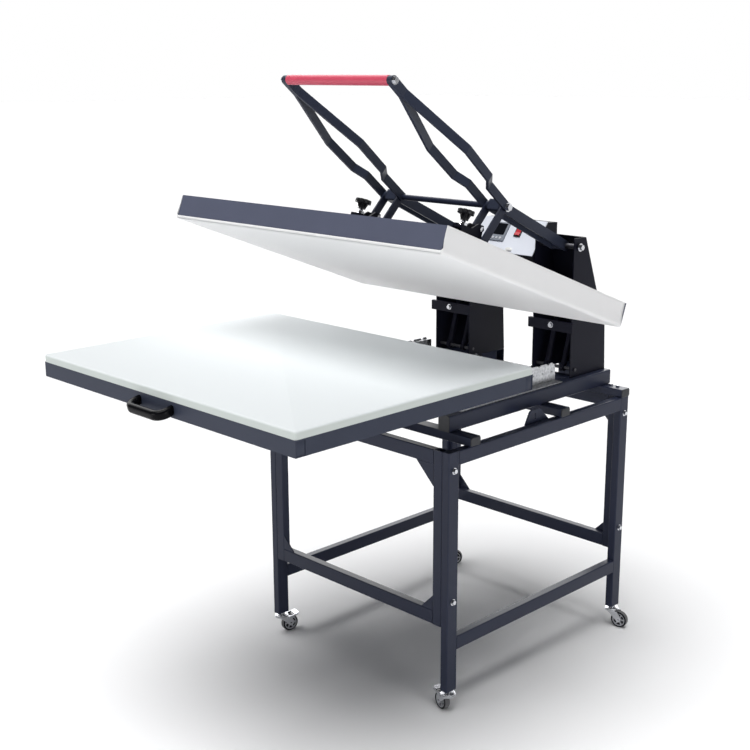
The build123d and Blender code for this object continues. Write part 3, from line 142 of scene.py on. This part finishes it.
slatePaint = powderCoat("slatePaint", (0.02, 0.0245, 0.046), roughness=0.34, specular=0.17)
framePaint = powderCoat("framePaint", (0.03, 0.036, 0.058), roughness=0.38, specular=0.16)
coverPaint = powderCoat("coverPaint", (0.073, 0.081, 0.122), roughness=0.5)
towerPaint = powderCoat("towerPaint", (0.006, 0.0065, 0.014), roughness=0.5, specular=0.12)
panelPaint = powderCoat("panelPaint", (0.74, 0.77, 0.84), roughness=0.4, grain=0.05)
chromeMetal = brightMetal("chromeMetal", (0.6, 0.61, 0.64), roughness=0.2)
zincMetal = galvanised("zincMetal")
steelMetal = brightMetal("steelMetal", (0.28, 0.29, 0.31), roughness=0.45)
darkSteel = brightMetal("darkSteel", (0.09, 0.09, 0.1), roughness=0.5)
aluminiumMetal = brightMetal("aluminiumMetal", (0.78, 0.79, 0.8), roughness=0.35)
blackPlastic = grained("blackPlastic", (0.012, 0.012, 0.014), roughness=0.45)
glossBlack = grained("glossBlack", (0.003, 0.003, 0.004), roughness=0.24, grain=0.02, specular=0.07)
bezelGrey = grained("bezelGrey", (0.2, 0.22, 0.26), roughness=0.5)
keyPlastic = grained("keyPlastic", (0.55, 0.57, 0.6), roughness=0.45)
screenBlack = grained("screenBlack", (0.004, 0.005, 0.008), roughness=0.08, grain=0.0)
rockerRed = grained("rockerRed", (0.5, 0.008, 0.02), roughness=0.22, grain=0.02)
lampWhite = grained("lampWhite", (0.8, 0.8, 0.78), roughness=0.25, grain=0.02)
gripRed = grained("gripRed", (0.56, 0.062, 0.11), roughness=0.38, grain=0.15, scale=700.0)
boardFibre = grained("boardFibre", (0.66, 0.62, 0.53), roughness=0.85, grain=0.4, scale=250.0)
tyreBlack = grained("tyreBlack", (0.008, 0.008, 0.011), roughness=0.55, grain=0.2, specular=0.1)
treadGrey = grained("treadGrey", (0.13, 0.13, 0.135), roughness=0.6, grain=0.2, specular=0.15)
capPlastic = grained("capPlastic", (0.009, 0.01, 0.015), roughness=0.5)
hubGrey = grained("hubGrey", (0.42, 0.43, 0.46), roughness=0.4)

nodeLooks = {
    slatePaint: "stand_legs side_rails cross_frames corner_gussets base_frame knee_tube links",
    framePaint: "lower_frame lever_bars rear_arms",
    towerPaint: "towers hinge_arms pressure_brackets control_box gas_cylinders",
    coverPaint: "upper_cover",
    panelPaint: "control_panel",
    chromeMetal: (
        "frame_bolts platen_fasteners lever_bolts grip_core caster_stems pedal_front_right pedal_front_left"
        " fork_front_right fork_front_left fork_rear_right fork_rear_left"
    ),
    zincMetal: "slide_mounts slide_fixed slide_middle slide_inner slide_hangers",
    steelMetal: "gas_rods heating_element",
    darkSteel: "tower_pins",
    aluminiumMetal: "heating_plate",
    capPlastic: "tube_caps",
    blackPlastic: "rocker_frame power_inlet slide_stops knob_left knob_right",
    glossBlack: "pull_handle",
    bezelGrey: "display_bezel",
    keyPlastic: "key_first key_second key_third key_fourth",
    screenBlack: "display_screen",
    rockerRed: "rocker",
    lampWhite: "indicator_lamp",
    gripRed: "grip_sleeve",
    boardFibre: "insulation_board",
}
for material, names in nodeLooks.items():
    for nodeName in names.split():
        for materialSlot in frame["nodes"][nodeName].material_slots:
            materialSlot.material = material
print("materials on CAD nodes")

# Helpers

sharpAngle = math.radians(38)  # edges sharper than this stay crisp on a smooth piece
levelGap = 1e-5  # points this close in height are level
mergeGap = 1e-5  # points this close are one


def finishMesh(mesh, name, material, body, smooth=True):
    data = bpy.data.meshes.new(name)
    bmesh.ops.recalc_face_normals(mesh, faces=mesh.faces)
    mesh.to_mesh(data)
    mesh.free()
    piece = bpy.data.objects.new(name, data)
    scene.collection.objects.link(piece)
    data.materials.append(material)
    for face in data.polygons:
        face.use_smooth = smooth
    if smooth:
        data.set_sharp_from_angle(angle=sharpAngle)
    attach(piece, body)
    return piece


def addBox(mesh, place, size):
    made = bmesh.ops.create_cube(mesh, size=1.0, matrix=place @ Matrix.Diagonal((*size, 1)))
    return made["verts"]


def roundEdges(mesh, edges, offset, segments):
    bmesh.ops.bevel(
        mesh, geom=edges, offset=offset, segments=segments, affect="EDGES", profile=0.5, material=-1,
    )


def turnProfile(mesh, profile, steps, closed=False):
    ring = [mesh.verts.new((r, 0, z)) for r, z in profile]
    after = ring[1:] + ring[:1] if closed else ring[1:]
    edges = [mesh.edges.new(pair) for pair in zip(ring, after)]
    bmesh.ops.spin(
        mesh, geom=ring + edges, cent=(0, 0, 0), axis=(0, 0, 1), angle=math.tau, steps=steps, use_merge=True,
    )
    if not closed:  # the ends on the axis become one point each
        bmesh.ops.remove_doubles(mesh, verts=mesh.verts, dist=mergeGap)


def findJoint(name):
    return next(joint for joint in frame["joints"] if joint["name"] == name)


# Lower pad

padLook = dict(
    corner=0.006, cornerSegments=4, rim=0.005, rimSegments=5,
    side=(0.5, 0.54, 0.52), top=(0.64, 0.67, 0.68), sideDepth=0.006, topDepth=0.001,
    roughness=0.75, grainScale=700.0, grainDetail=3.0, depth=0.0004, grain=0.15,
)


def padFoam(topZ):
    material, tree, shader = newMaterial("padFoam", padLook["top"], padLook["roughness"])
    coords = tree.nodes.new("ShaderNodeTexCoord")
    split = tree.nodes.new("ShaderNodeSeparateXYZ")
    ramp = tree.nodes.new("ShaderNodeMapRange")
    ramp.inputs["From Min"].default_value = topZ - padLook["sideDepth"]
    ramp.inputs["From Max"].default_value = topZ - padLook["topDepth"]
    tree.links.new(coords.outputs["Object"], split.inputs["Vector"])
    tree.links.new(split.outputs["Z"], ramp.inputs["Value"])
    addMottle(tree, shader, ramp.outputs["Result"], padLook["side"], padLook["top"])
    addGrain(tree, shader, padLook, padLook["grain"])
    return material


def buildLowerPad():
    low, high = [Vector(corner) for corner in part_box("lower_pad")]
    size = high - low
    mesh = bmesh.new()
    addBox(mesh, Matrix.Translation((high + low) / 2), size)
    upright = [e for e in mesh.edges if abs(e.verts[0].co.z - e.verts[1].co.z) > size.z / 2]
    roundEdges(mesh, upright, padLook["corner"], padLook["cornerSegments"])
    rim = [e for e in mesh.edges if min(v.co.z for v in e.verts) > high.z - levelGap]
    roundEdges(mesh, rim, padLook["rim"], padLook["rimSegments"])
    pad = finishMesh(mesh, "lowerPad", padFoam(high.z), "lower_platen")
    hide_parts("lower_pad")


buildLowerPad()
print("lower pad")

# Tube ends

tubeEndLook = dict(inset=0.0012, wall=0.002, thick=0.0015, tube=0.03, rounding=0.0004, segments=2)


def buildTubeEnds():
    low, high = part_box("lower_frame")
    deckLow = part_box("lower_pad")[0][2]
    wall, thick, tube = tubeEndLook["wall"], tubeEndLook["thick"], tubeEndLook["tube"]
    top = deckLow - 2 * wall
    bottom = low[2] + wall
    mesh = bmesh.new()
    for side in (-1, 1):
        endX = (high[0] if side > 0 else low[0]) - side * (tubeEndLook["inset"] + thick / 2)
        for middleY in (low[1] + tube / 2, high[1] - tube / 2):
            place = Matrix.Translation((endX, middleY, (top + bottom) / 2))
            addBox(mesh, place, (thick, tube - 2 * wall, top - bottom))
    roundEdges(mesh, mesh.edges[:], tubeEndLook["rounding"], tubeEndLook["segments"])
    plates = finishMesh(mesh, "tubeEnds", framePaint, "lower_platen")


buildTubeEnds()
print("tube ends")

# Pull handle

pullLook = dict(fatter=0.0026, seat=0.0004)


def buildPullHandle():
    mesh = bmesh.new()
    mesh.from_mesh(frame["nodes"]["pull_handle"].data)
    bmesh.ops.remove_doubles(mesh, verts=mesh.verts, dist=mergeGap)
    rearY = max(v.co.y for v in mesh.verts)
    mesh.normal_update()
    normals = [v.normal.copy() for v in mesh.verts]
    for vert, normal in zip(mesh.verts, normals):
        if vert.co.y > rearY - pullLook["seat"]:  # the feet stay flat on the frame
            normal.y = 0.0
        vert.co += normal * pullLook["fatter"]
    handle = finishMesh(mesh, "pullHandle", glossBlack, "lower_platen")
    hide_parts("pull_handle")


buildPullHandle()
print("pull handle")

# Press cloth

pressJoint = findJoint("press_hinge")
openAngle = math.radians(pressJoint["range_deg"][1])
# from a level platen with its hinge at the origin to the open one
pressFrame = Matrix.Translation(pressJoint["pos_m"]) @ Matrix.Rotation(-openAngle, 4, "X")

clothLook = dict(
    thickness=0.0012, corner=0.010, turnUpSteps=8, cornerSteps=6, rows=64, rearTrim=0.008,
    spots=(0.004, 0.009, 0.016, 0.026, 0.04, 0.07, 0.12, 0.2, 0.3, 0.4),  # from the fold inwards
    lip=((-0.0019, 0.009), (-0.0019, 0.0052), (-0.0008, 0.0026), (0.0012, 0.0009), (0.004, 0.0)),
    bulge=0.0045, reach=0.022, wave=0.4, longWave=31.0, shortWave=83.0, shortShift=1.3, longShare=0.6,
    color=(0.71, 0.71, 0.715), roughness=0.7, sheen=0.15,
    weaveScale=900.0, weaveTwist=0.5, weaveBump=0.08, weaveDepth=0.0002,
)


def levelPoints(nodeName):
    inverse = pressFrame.inverted()
    return [inverse @ v.co for v in frame["nodes"][nodeName].data.vertices]


def runningLength(line):
    lengths = [0.0]
    for a, b in zip(line, line[1:]):
        lengths.append(lengths[-1] + math.hypot(b[0] - a[0], b[1] - a[1]))
    return lengths


def clothLine(y, floorZ, lowX, highZ):
    half = clothLook["thickness"] / 2
    corner = clothLook["corner"]
    turnUpSteps, cornerSteps = clothLook["turnUpSteps"], clothLook["cornerSteps"]
    line = []
    for step in range(turnUpSteps + 1):
        line.append((lowX + half, highZ + (floorZ + half + corner - highZ) * step / turnUpSteps))
    for step in range(1, cornerSteps + 1):
        turn = math.radians(180 + 90 * step / cornerSteps)
        x, z = corner * (1 + math.cos(turn)), corner * (1 + math.sin(turn))
        line.append((lowX + half + x, floorZ + half + z))
    start = line[-1][0]
    for spot in clothLook["spots"]:
        line.append((start + spot, floorZ + half))
    # the loose fold stands out a little along the lower side edge
    share = clothLook["longShare"]
    ripple = math.sin(y * clothLook["longWave"]) * share
    ripple += math.sin(y * clothLook["shortWave"] + clothLook["shortShift"]) * (1 - share)
    bulge = clothLook["bulge"] * (1 + clothLook["wave"] * ripple)
    foldX, foldZ = line[turnUpSteps + cornerSteps // 2]
    shaped = []
    for x, z in line:
        away = math.hypot(x - foldX, z - foldZ) / clothLook["reach"]
        shaped.append((x - bulge * math.exp(-away * away), z))
    return shaped + [(0.0, floorZ + half)] + [(-x, z) for x, z in reversed(shaped)]


def clothFabric():
    material, tree, shader = newMaterial("pressCloth", clothLook["color"], clothLook["roughness"])
    shader.inputs["Sheen Weight"].default_value = clothLook["sheen"]
    uv = tree.nodes.new("ShaderNodeUVMap")
    uv.uv_map = "clothUv"
    weave = tree.nodes.new("ShaderNodeTexWave")
    weave.inputs["Scale"].default_value = clothLook["weaveScale"]
    weave.inputs["Distortion"].default_value = clothLook["weaveTwist"]
    tree.links.new(uv.outputs["UV"], weave.inputs["Vector"])
    addBump(tree, shader, weave.outputs["Fac"], clothLook["weaveBump"], clothLook["weaveDepth"])
    return material


def buildPressCloth():
    points = levelPoints("press_cloth")
    lowX = min(p.x for p in points)
    lowY, highY = min(p.y for p in points), max(p.y for p in points)
    lowZ, highZ = min(p.z for p in points), max(p.z for p in points)
    # the place and the rise of each row, front to rear
    rowPlaces = [(lowY + y, rise) for y, rise in clothLook["lip"]]
    flatY = rowPlaces[-1][0]
    flatRun = highY - clothLook["rearTrim"] - flatY
    for row in range(1, clothLook["rows"] + 1):
        rowPlaces.append((flatY + flatRun * row / clothLook["rows"], 0.0))
    lines = [clothLine(y, lowZ + rise, lowX, highZ) for y, rise in rowPlaces]
    across = runningLength(lines[len(lines) // 2])
    along = runningLength(rowPlaces)
    mesh = bmesh.new()
    uvLayer = mesh.loops.layers.uv.new("clothUv")
    grid = []
    for place, line in zip(rowPlaces, lines):
        grid.append([mesh.verts.new(pressFrame @ Vector((x, place[0], z))) for x, z in line])
    for row in range(len(grid) - 1):
        for column in range(len(across) - 1):
            corners = ((row, column), (row, column + 1), (row + 1, column + 1), (row + 1, column))
            face = mesh.faces.new([grid[r][c] for r, c in corners])
            for faceLoop, (r, c) in zip(face.loops, corners):
                faceLoop[uvLayer].uv = (across[c], along[r])
    cloth = finishMesh(mesh, "pressCloth", clothFabric(), "upper_platen")
    thick = cloth.modifiers.new("thickness", "SOLIDIFY")
    thick.thickness = clothLook["thickness"]
    thick.offset = 0
    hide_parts("press_cloth")
    print("press cloth flat size", round(across[-1], 3), round(along[-1], 3))


buildPressCloth()

# Knobs

knobLook = dict(
    radius=0.0235, steps=144, scallop=0.0042, lobes=9, lobePower=1.6, disc=0.0115, rim=0.0012, rimSegments=3,
    neckStart=0.008, neck=0.0085, neckFlare=0.002, neckSteps=40,
    collar=0.0115, collarHeight=0.003, collarSteps=48, drop=0.0262,
    ribs=6, ribStart=0.009, ribReach=0.019, ribShare=0.8, ribWidth=0.0028, ribTaper=0.66, taperHeight=0.002,
)
screwLook = dict(
    foot=0.011, footHeight=0.005, screw=0.006, steps=32, pitch=0.002,
    threadStart=0.006, threadDepth=0.0007, threadEnd=0.008, lap=0.001,
    nut=0.011, nutSides=6, nutHeight=0.0088, nutDrop=0.0392,
)


def addRound(mesh, lowRadius, highRadius, depth, middleZ, segments):
    bmesh.ops.create_cone(
        mesh, cap_ends=True, segments=segments, radius1=lowRadius, radius2=highRadius, depth=depth,
        matrix=Matrix.Translation((0, 0, middleZ)),
    )


def knobGrip(mesh):
    bmesh.ops.create_circle(mesh, cap_ends=True, segments=knobLook["steps"], radius=1.0)
    for vert in mesh.verts:
        angle = math.atan2(vert.co.y, vert.co.x)
        dip = max(0.0, math.cos(knobLook["lobes"] * angle)) ** knobLook["lobePower"]
        reach = knobLook["radius"] - knobLook["scallop"] * dip
        vert.co = Vector((math.cos(angle) * reach, math.sin(angle) * reach, -knobLook["disc"]))
    raised = bmesh.ops.extrude_face_region(mesh, geom=mesh.faces[:])
    upper = [item for item in raised["geom"] if isinstance(item, bmesh.types.BMVert)]
    bmesh.ops.translate(mesh, verts=upper, vec=(0, 0, knobLook["disc"]))
    rims = [e for e in mesh.edges if abs(e.verts[0].co.z - e.verts[1].co.z) < levelGap]
    roundEdges(mesh, rims, knobLook["rim"], knobLook["rimSegments"])
    drop, neck, neckStart = knobLook["drop"], knobLook["neck"], knobLook["neckStart"]
    foot, middle = neck + knobLook["neckFlare"], -(drop + neckStart) / 2
    addRound(mesh, foot, neck, drop - neckStart, middle, knobLook["neckSteps"])
    ribSize = (knobLook["ribReach"] * knobLook["ribShare"], knobLook["ribWidth"], drop - knobLook["ribStart"])
    ribPlace = Matrix.Translation((knobLook["ribReach"] / 2, 0, -(drop + knobLook["ribStart"]) / 2))
    for number in range(knobLook["ribs"]):
        turn = Matrix.Rotation(math.tau * number / knobLook["ribs"], 4, "Z")
        for vert in addBox(mesh, turn @ ribPlace, ribSize):
            if vert.co.z < -drop + knobLook["taperHeight"]:  # ribs taper in towards the collar
                vert.co.x *= knobLook["ribTaper"]
                vert.co.y *= knobLook["ribTaper"]
    collar = knobLook["collar"]
    addRound(mesh, collar, collar, knobLook["collarHeight"], -drop, knobLook["collarSteps"])


def knobScrew(mesh, bottom):
    foot, screw, pitch = screwLook["foot"], screwLook["screw"], screwLook["pitch"]
    footTop = bottom + screwLook["footHeight"]
    drop = knobLook["drop"]
    profile = [(0, bottom), (foot, bottom), (foot, footTop), (screw, footTop)]
    for number in range(int((-drop - bottom - screwLook["threadEnd"]) / pitch)):
        z = bottom + screwLook["threadStart"] + number * pitch
        profile += [(screw, z), (screw - screwLook["threadDepth"], z + pitch / 2)]
    profile.append((0, -drop + screwLook["lap"]))
    turnProfile(mesh, profile, screwLook["steps"])
    nut = screwLook["nut"]
    addRound(mesh, nut, nut, screwLook["nutHeight"], -screwLook["nutDrop"], screwLook["nutSides"])


def buildKnob(side):
    nodeName = "knob_" + side
    points = levelPoints(nodeName)
    middleX = (min(p.x for p in points) + max(p.x for p in points)) / 2
    middleY = (min(p.y for p in points) + max(p.y for p in points)) / 2
    lowZ, highZ = min(p.z for p in points), max(p.z for p in points)
    place = pressFrame @ Matrix.Translation((middleX, middleY, highZ))
    grip = bmesh.new()
    knobGrip(grip)
    screw = bmesh.new()
    knobScrew(screw, lowZ - highZ)
    for mesh, pieceName, material in ((grip, "knobGrip_", blackPlastic), (screw, "knobScrew_", chromeMetal)):
        bmesh.ops.transform(mesh, matrix=place, verts=mesh.verts)
        piece = finishMesh(mesh, pieceName + side, material, nodeName)
        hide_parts(nodeName)


for knobSide in ("left", "right"):
    buildKnob(knobSide)
print("pressure knobs")

# Wheels

wheelLook = dict(
    radius=0.026, width=0.020, steps=48, rimDepth=0.0055, rimWall=0.0022, rimSeat=0.0002, rimHalf=0.4,
    # depth below the tread, and share of the width from the middle
    tyreSide=((0.0055, 0.42), (0.0025, 0.46), (0.001, 0.38), (0.0004, 0.3)),
    treadSide=((0.002, 0.31), (0.0002, 0.34), (0.0, 0.24)),
    hubRadius=0.0085, bore=0.0032, hubHalf=0.475, webHalf=0.15, webSeat=0.001,
    spokes=6, spokeMiddle=0.0135, spokeLength=0.012, spokeWidth=0.0035, spokeShare=0.72,
)


def wheelRing(mesh, side):
    profile = list(side) + [(r, -z) for r, z in reversed(side)]
    turnProfile(mesh, profile, wheelLook["steps"], closed=True)


def tyreOutline(side):
    return [(wheelLook["radius"] - depth, wheelLook["width"] * share) for depth, share in side]


def buildWheel(cornerName):
    wheel = "wheel_" + cornerName
    joint = findJoint("spin_" + cornerName)
    upright = Vector((0, 0, 1))
    forward = Vector(joint["axis"]).cross(upright).normalized()
    place = Matrix((forward, upright, -forward.cross(upright))).transposed().to_4x4()
    place.translation = joint["pos_m"]
    width = wheelLook["width"]
    outer = wheelLook["radius"] - wheelLook["rimDepth"]
    inner = outer - wheelLook["rimWall"]

    def finished(mesh, name, material, smooth=False):
        bmesh.ops.transform(mesh, matrix=place, verts=mesh.verts)
        piece = finishMesh(mesh, name + "_" + cornerName, material, wheel, smooth)
        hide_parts(wheel)

    mesh = bmesh.new()
    wheelRing(mesh, tyreOutline(wheelLook["tyreSide"]))
    finished(mesh, "tyre", tyreBlack, True)

    mesh = bmesh.new()
    wheelRing(mesh, tyreOutline(wheelLook["treadSide"]))
    finished(mesh, "tread", treadGrey, True)

    mesh = bmesh.new()
    rimZ, hubZ, webZ = [width * wheelLook[half] for half in ("rimHalf", "hubHalf", "webHalf")]
    wheelRing(mesh, [(inner, rimZ), (outer + wheelLook["rimSeat"], rimZ)])
    wheelRing(mesh, [(wheelLook["bore"], hubZ), (wheelLook["hubRadius"], hubZ)])
    spokePlace = Matrix.Translation((wheelLook["spokeMiddle"], 0, 0))
    spokeSize = (wheelLook["spokeLength"], wheelLook["spokeWidth"], width * wheelLook["spokeShare"])
    for number in range(wheelLook["spokes"]):
        addBox(mesh, Matrix.Rotation(math.tau * number / wheelLook["spokes"], 4, "Z") @ spokePlace, spokeSize)
    finished(mesh, "hub", hubGrey)

    mesh = bmesh.new()
    wheelRing(mesh, [(wheelLook["hubRadius"] - wheelLook["webSeat"], webZ), ((outer + inner) / 2, webZ)])
    finished(mesh, "hubWeb", tyreBlack)


for cornerName in ("front_right", "front_left", "rear_right", "rear_left"):
    buildWheel(cornerName)
print("caster wheels")

# Stage

floorLook = dict(size=120.0, color=(0.93, 0.93, 0.935), roughness=0.95)
sunLook = dict(comesFrom=(-0.02, -0.27, 1.0), angle=49.0, strength=3.5)
lampLook = dict(
    keyLight=dict(place=(-1.2, -4.2, 1.0), aim=(0, 0, 1.0), size=1.8, power=36.0, spread=180),
    fillLight=dict(place=(4.4, -0.8, 0.95), aim=(0, 0, 1.0), size=1.7, power=50.0, spread=180),
    # narrow, for the pad below the upper platen
    sideLight=dict(place=(-2.7, 0.4, 1.4), aim=(0, 0.02, 1.0), size=0.4, power=2.0, spread=24),
)


def placeLight(data, towards):
    light = bpy.data.objects.new(data.name, data)
    scene.collection.objects.link(light)
    light.rotation_euler = towards.to_track_quat("-Z", "Y").to_euler()
    return light


def buildStage():
    bpy.ops.mesh.primitive_plane_add(size=floorLook["size"], location=(0, 0, 0))
    floor = bpy.context.object
    floor.name = "floor"
    paper = newMaterial("floorPaper", floorLook["color"], floorLook["roughness"], specular=0.0)[0]
    floor.data.materials.append(paper)
    sun = bpy.data.lights.new("softTop", "SUN")
    sun.energy = sunLook["strength"]
    sun.angle = math.radians(sunLook["angle"])
    placeLight(sun, -Vector(sunLook["comesFrom"]))
    for name, look in lampLook.items():
        lamp = bpy.data.lights.new(name, "AREA")
        lamp.energy = look["power"]
        lamp.size = look["size"]
        lamp.spread = math.radians(look["spread"])
        light = placeLight(lamp, Vector(look["aim"]) - Vector(look["place"]))
        light.location = look["place"]


# World

worldLook = dict(
    seen=(1, 1, 1), fillColor=(0.95, 0.97, 1), fill=0.07,
    wallFrom=(-0.66, 0.66, 0.36), wallEdge=0.5, wallFull=0.9, wallShine=3.4, roomShine=0.06,
)


def buildWorld():
    world = bpy.data.worlds.new("studio")
    scene.world = world
    world.use_nodes = True
    tree = world.node_tree
    tree.nodes.clear()
    path = tree.nodes.new("ShaderNodeLightPath")

    def background(color, strength):
        node = tree.nodes.new("ShaderNodeBackground")
        node.inputs["Color"].default_value = (*color, 1)
        node.inputs["Strength"].default_value = strength
        return node

    def chosenBy(ray, otherwise, chosen):
        mixer = tree.nodes.new("ShaderNodeMixShader")
        tree.links.new(path.outputs[ray], mixer.inputs["Fac"])
        tree.links.new(otherwise.outputs[0], mixer.inputs[1])
        tree.links.new(chosen.outputs[0], mixer.inputs[2])
        return mixer

    # the paint and the chrome mirror a white wall behind the press, to its left
    direction = tree.nodes.new("ShaderNodeTexCoord")
    toWall = tree.nodes.new("ShaderNodeVectorMath")
    toWall.operation = "DOT_PRODUCT"
    toWall.inputs[1].default_value = worldLook["wallFrom"]
    wall = tree.nodes.new("ShaderNodeMapRange")
    wall.inputs["From Min"].default_value = worldLook["wallEdge"]
    wall.inputs["From Max"].default_value = worldLook["wallFull"]
    wall.inputs["To Min"].default_value = worldLook["roomShine"]
    wall.inputs["To Max"].default_value = worldLook["wallShine"]
    mirrored = background((1, 1, 1), 1.0)
    tree.links.new(direction.outputs["Generated"], toWall.inputs[0])
    tree.links.new(toWall.outputs["Value"], wall.inputs["Value"])
    tree.links.new(wall.outputs["Result"], mirrored.inputs["Strength"])

    fill = background(worldLook["fillColor"], worldLook["fill"])
    room = chosenBy("Is Glossy Ray", fill, mirrored)
    picture = chosenBy("Is Camera Ray", room, background(worldLook["seen"], 1.0))
    output = tree.nodes.new("ShaderNodeOutputWorld")
    tree.links.new(picture.outputs["Shader"], output.inputs["Surface"])


# Camera

cameraLook = dict(
    place=(2.3667, -2.3134, 1.7196), aim=(0.9715, -0.9388, 1.227), lens=58.354, sensorWidth=36.0, roll=-0.246,
)


def buildCamera():
    data = bpy.data.cameras.new("camera")
    data.lens = cameraLook["lens"]
    data.sensor_width = cameraLook["sensorWidth"]
    camera = bpy.data.objects.new("camera", data)
    scene.collection.objects.link(camera)
    forward = (Vector(cameraLook["aim"]) - Vector(cameraLook["place"])).normalized()
    right = forward.cross(Vector((0, 0, 1))).normalized()
    up = right.cross(forward)
    level = Matrix((right, up, -forward)).transposed().to_4x4()
    roll = Matrix.Rotation(math.radians(cameraLook["roll"]), 4, "Z")
    camera.matrix_world = Matrix.Translation(cameraLook["place"]) @ level @ roll
    scene.camera = camera


buildStage()
buildWorld()
buildCamera()
scene.view_settings.view_transform = "Standard"
print("stage, world and camera")
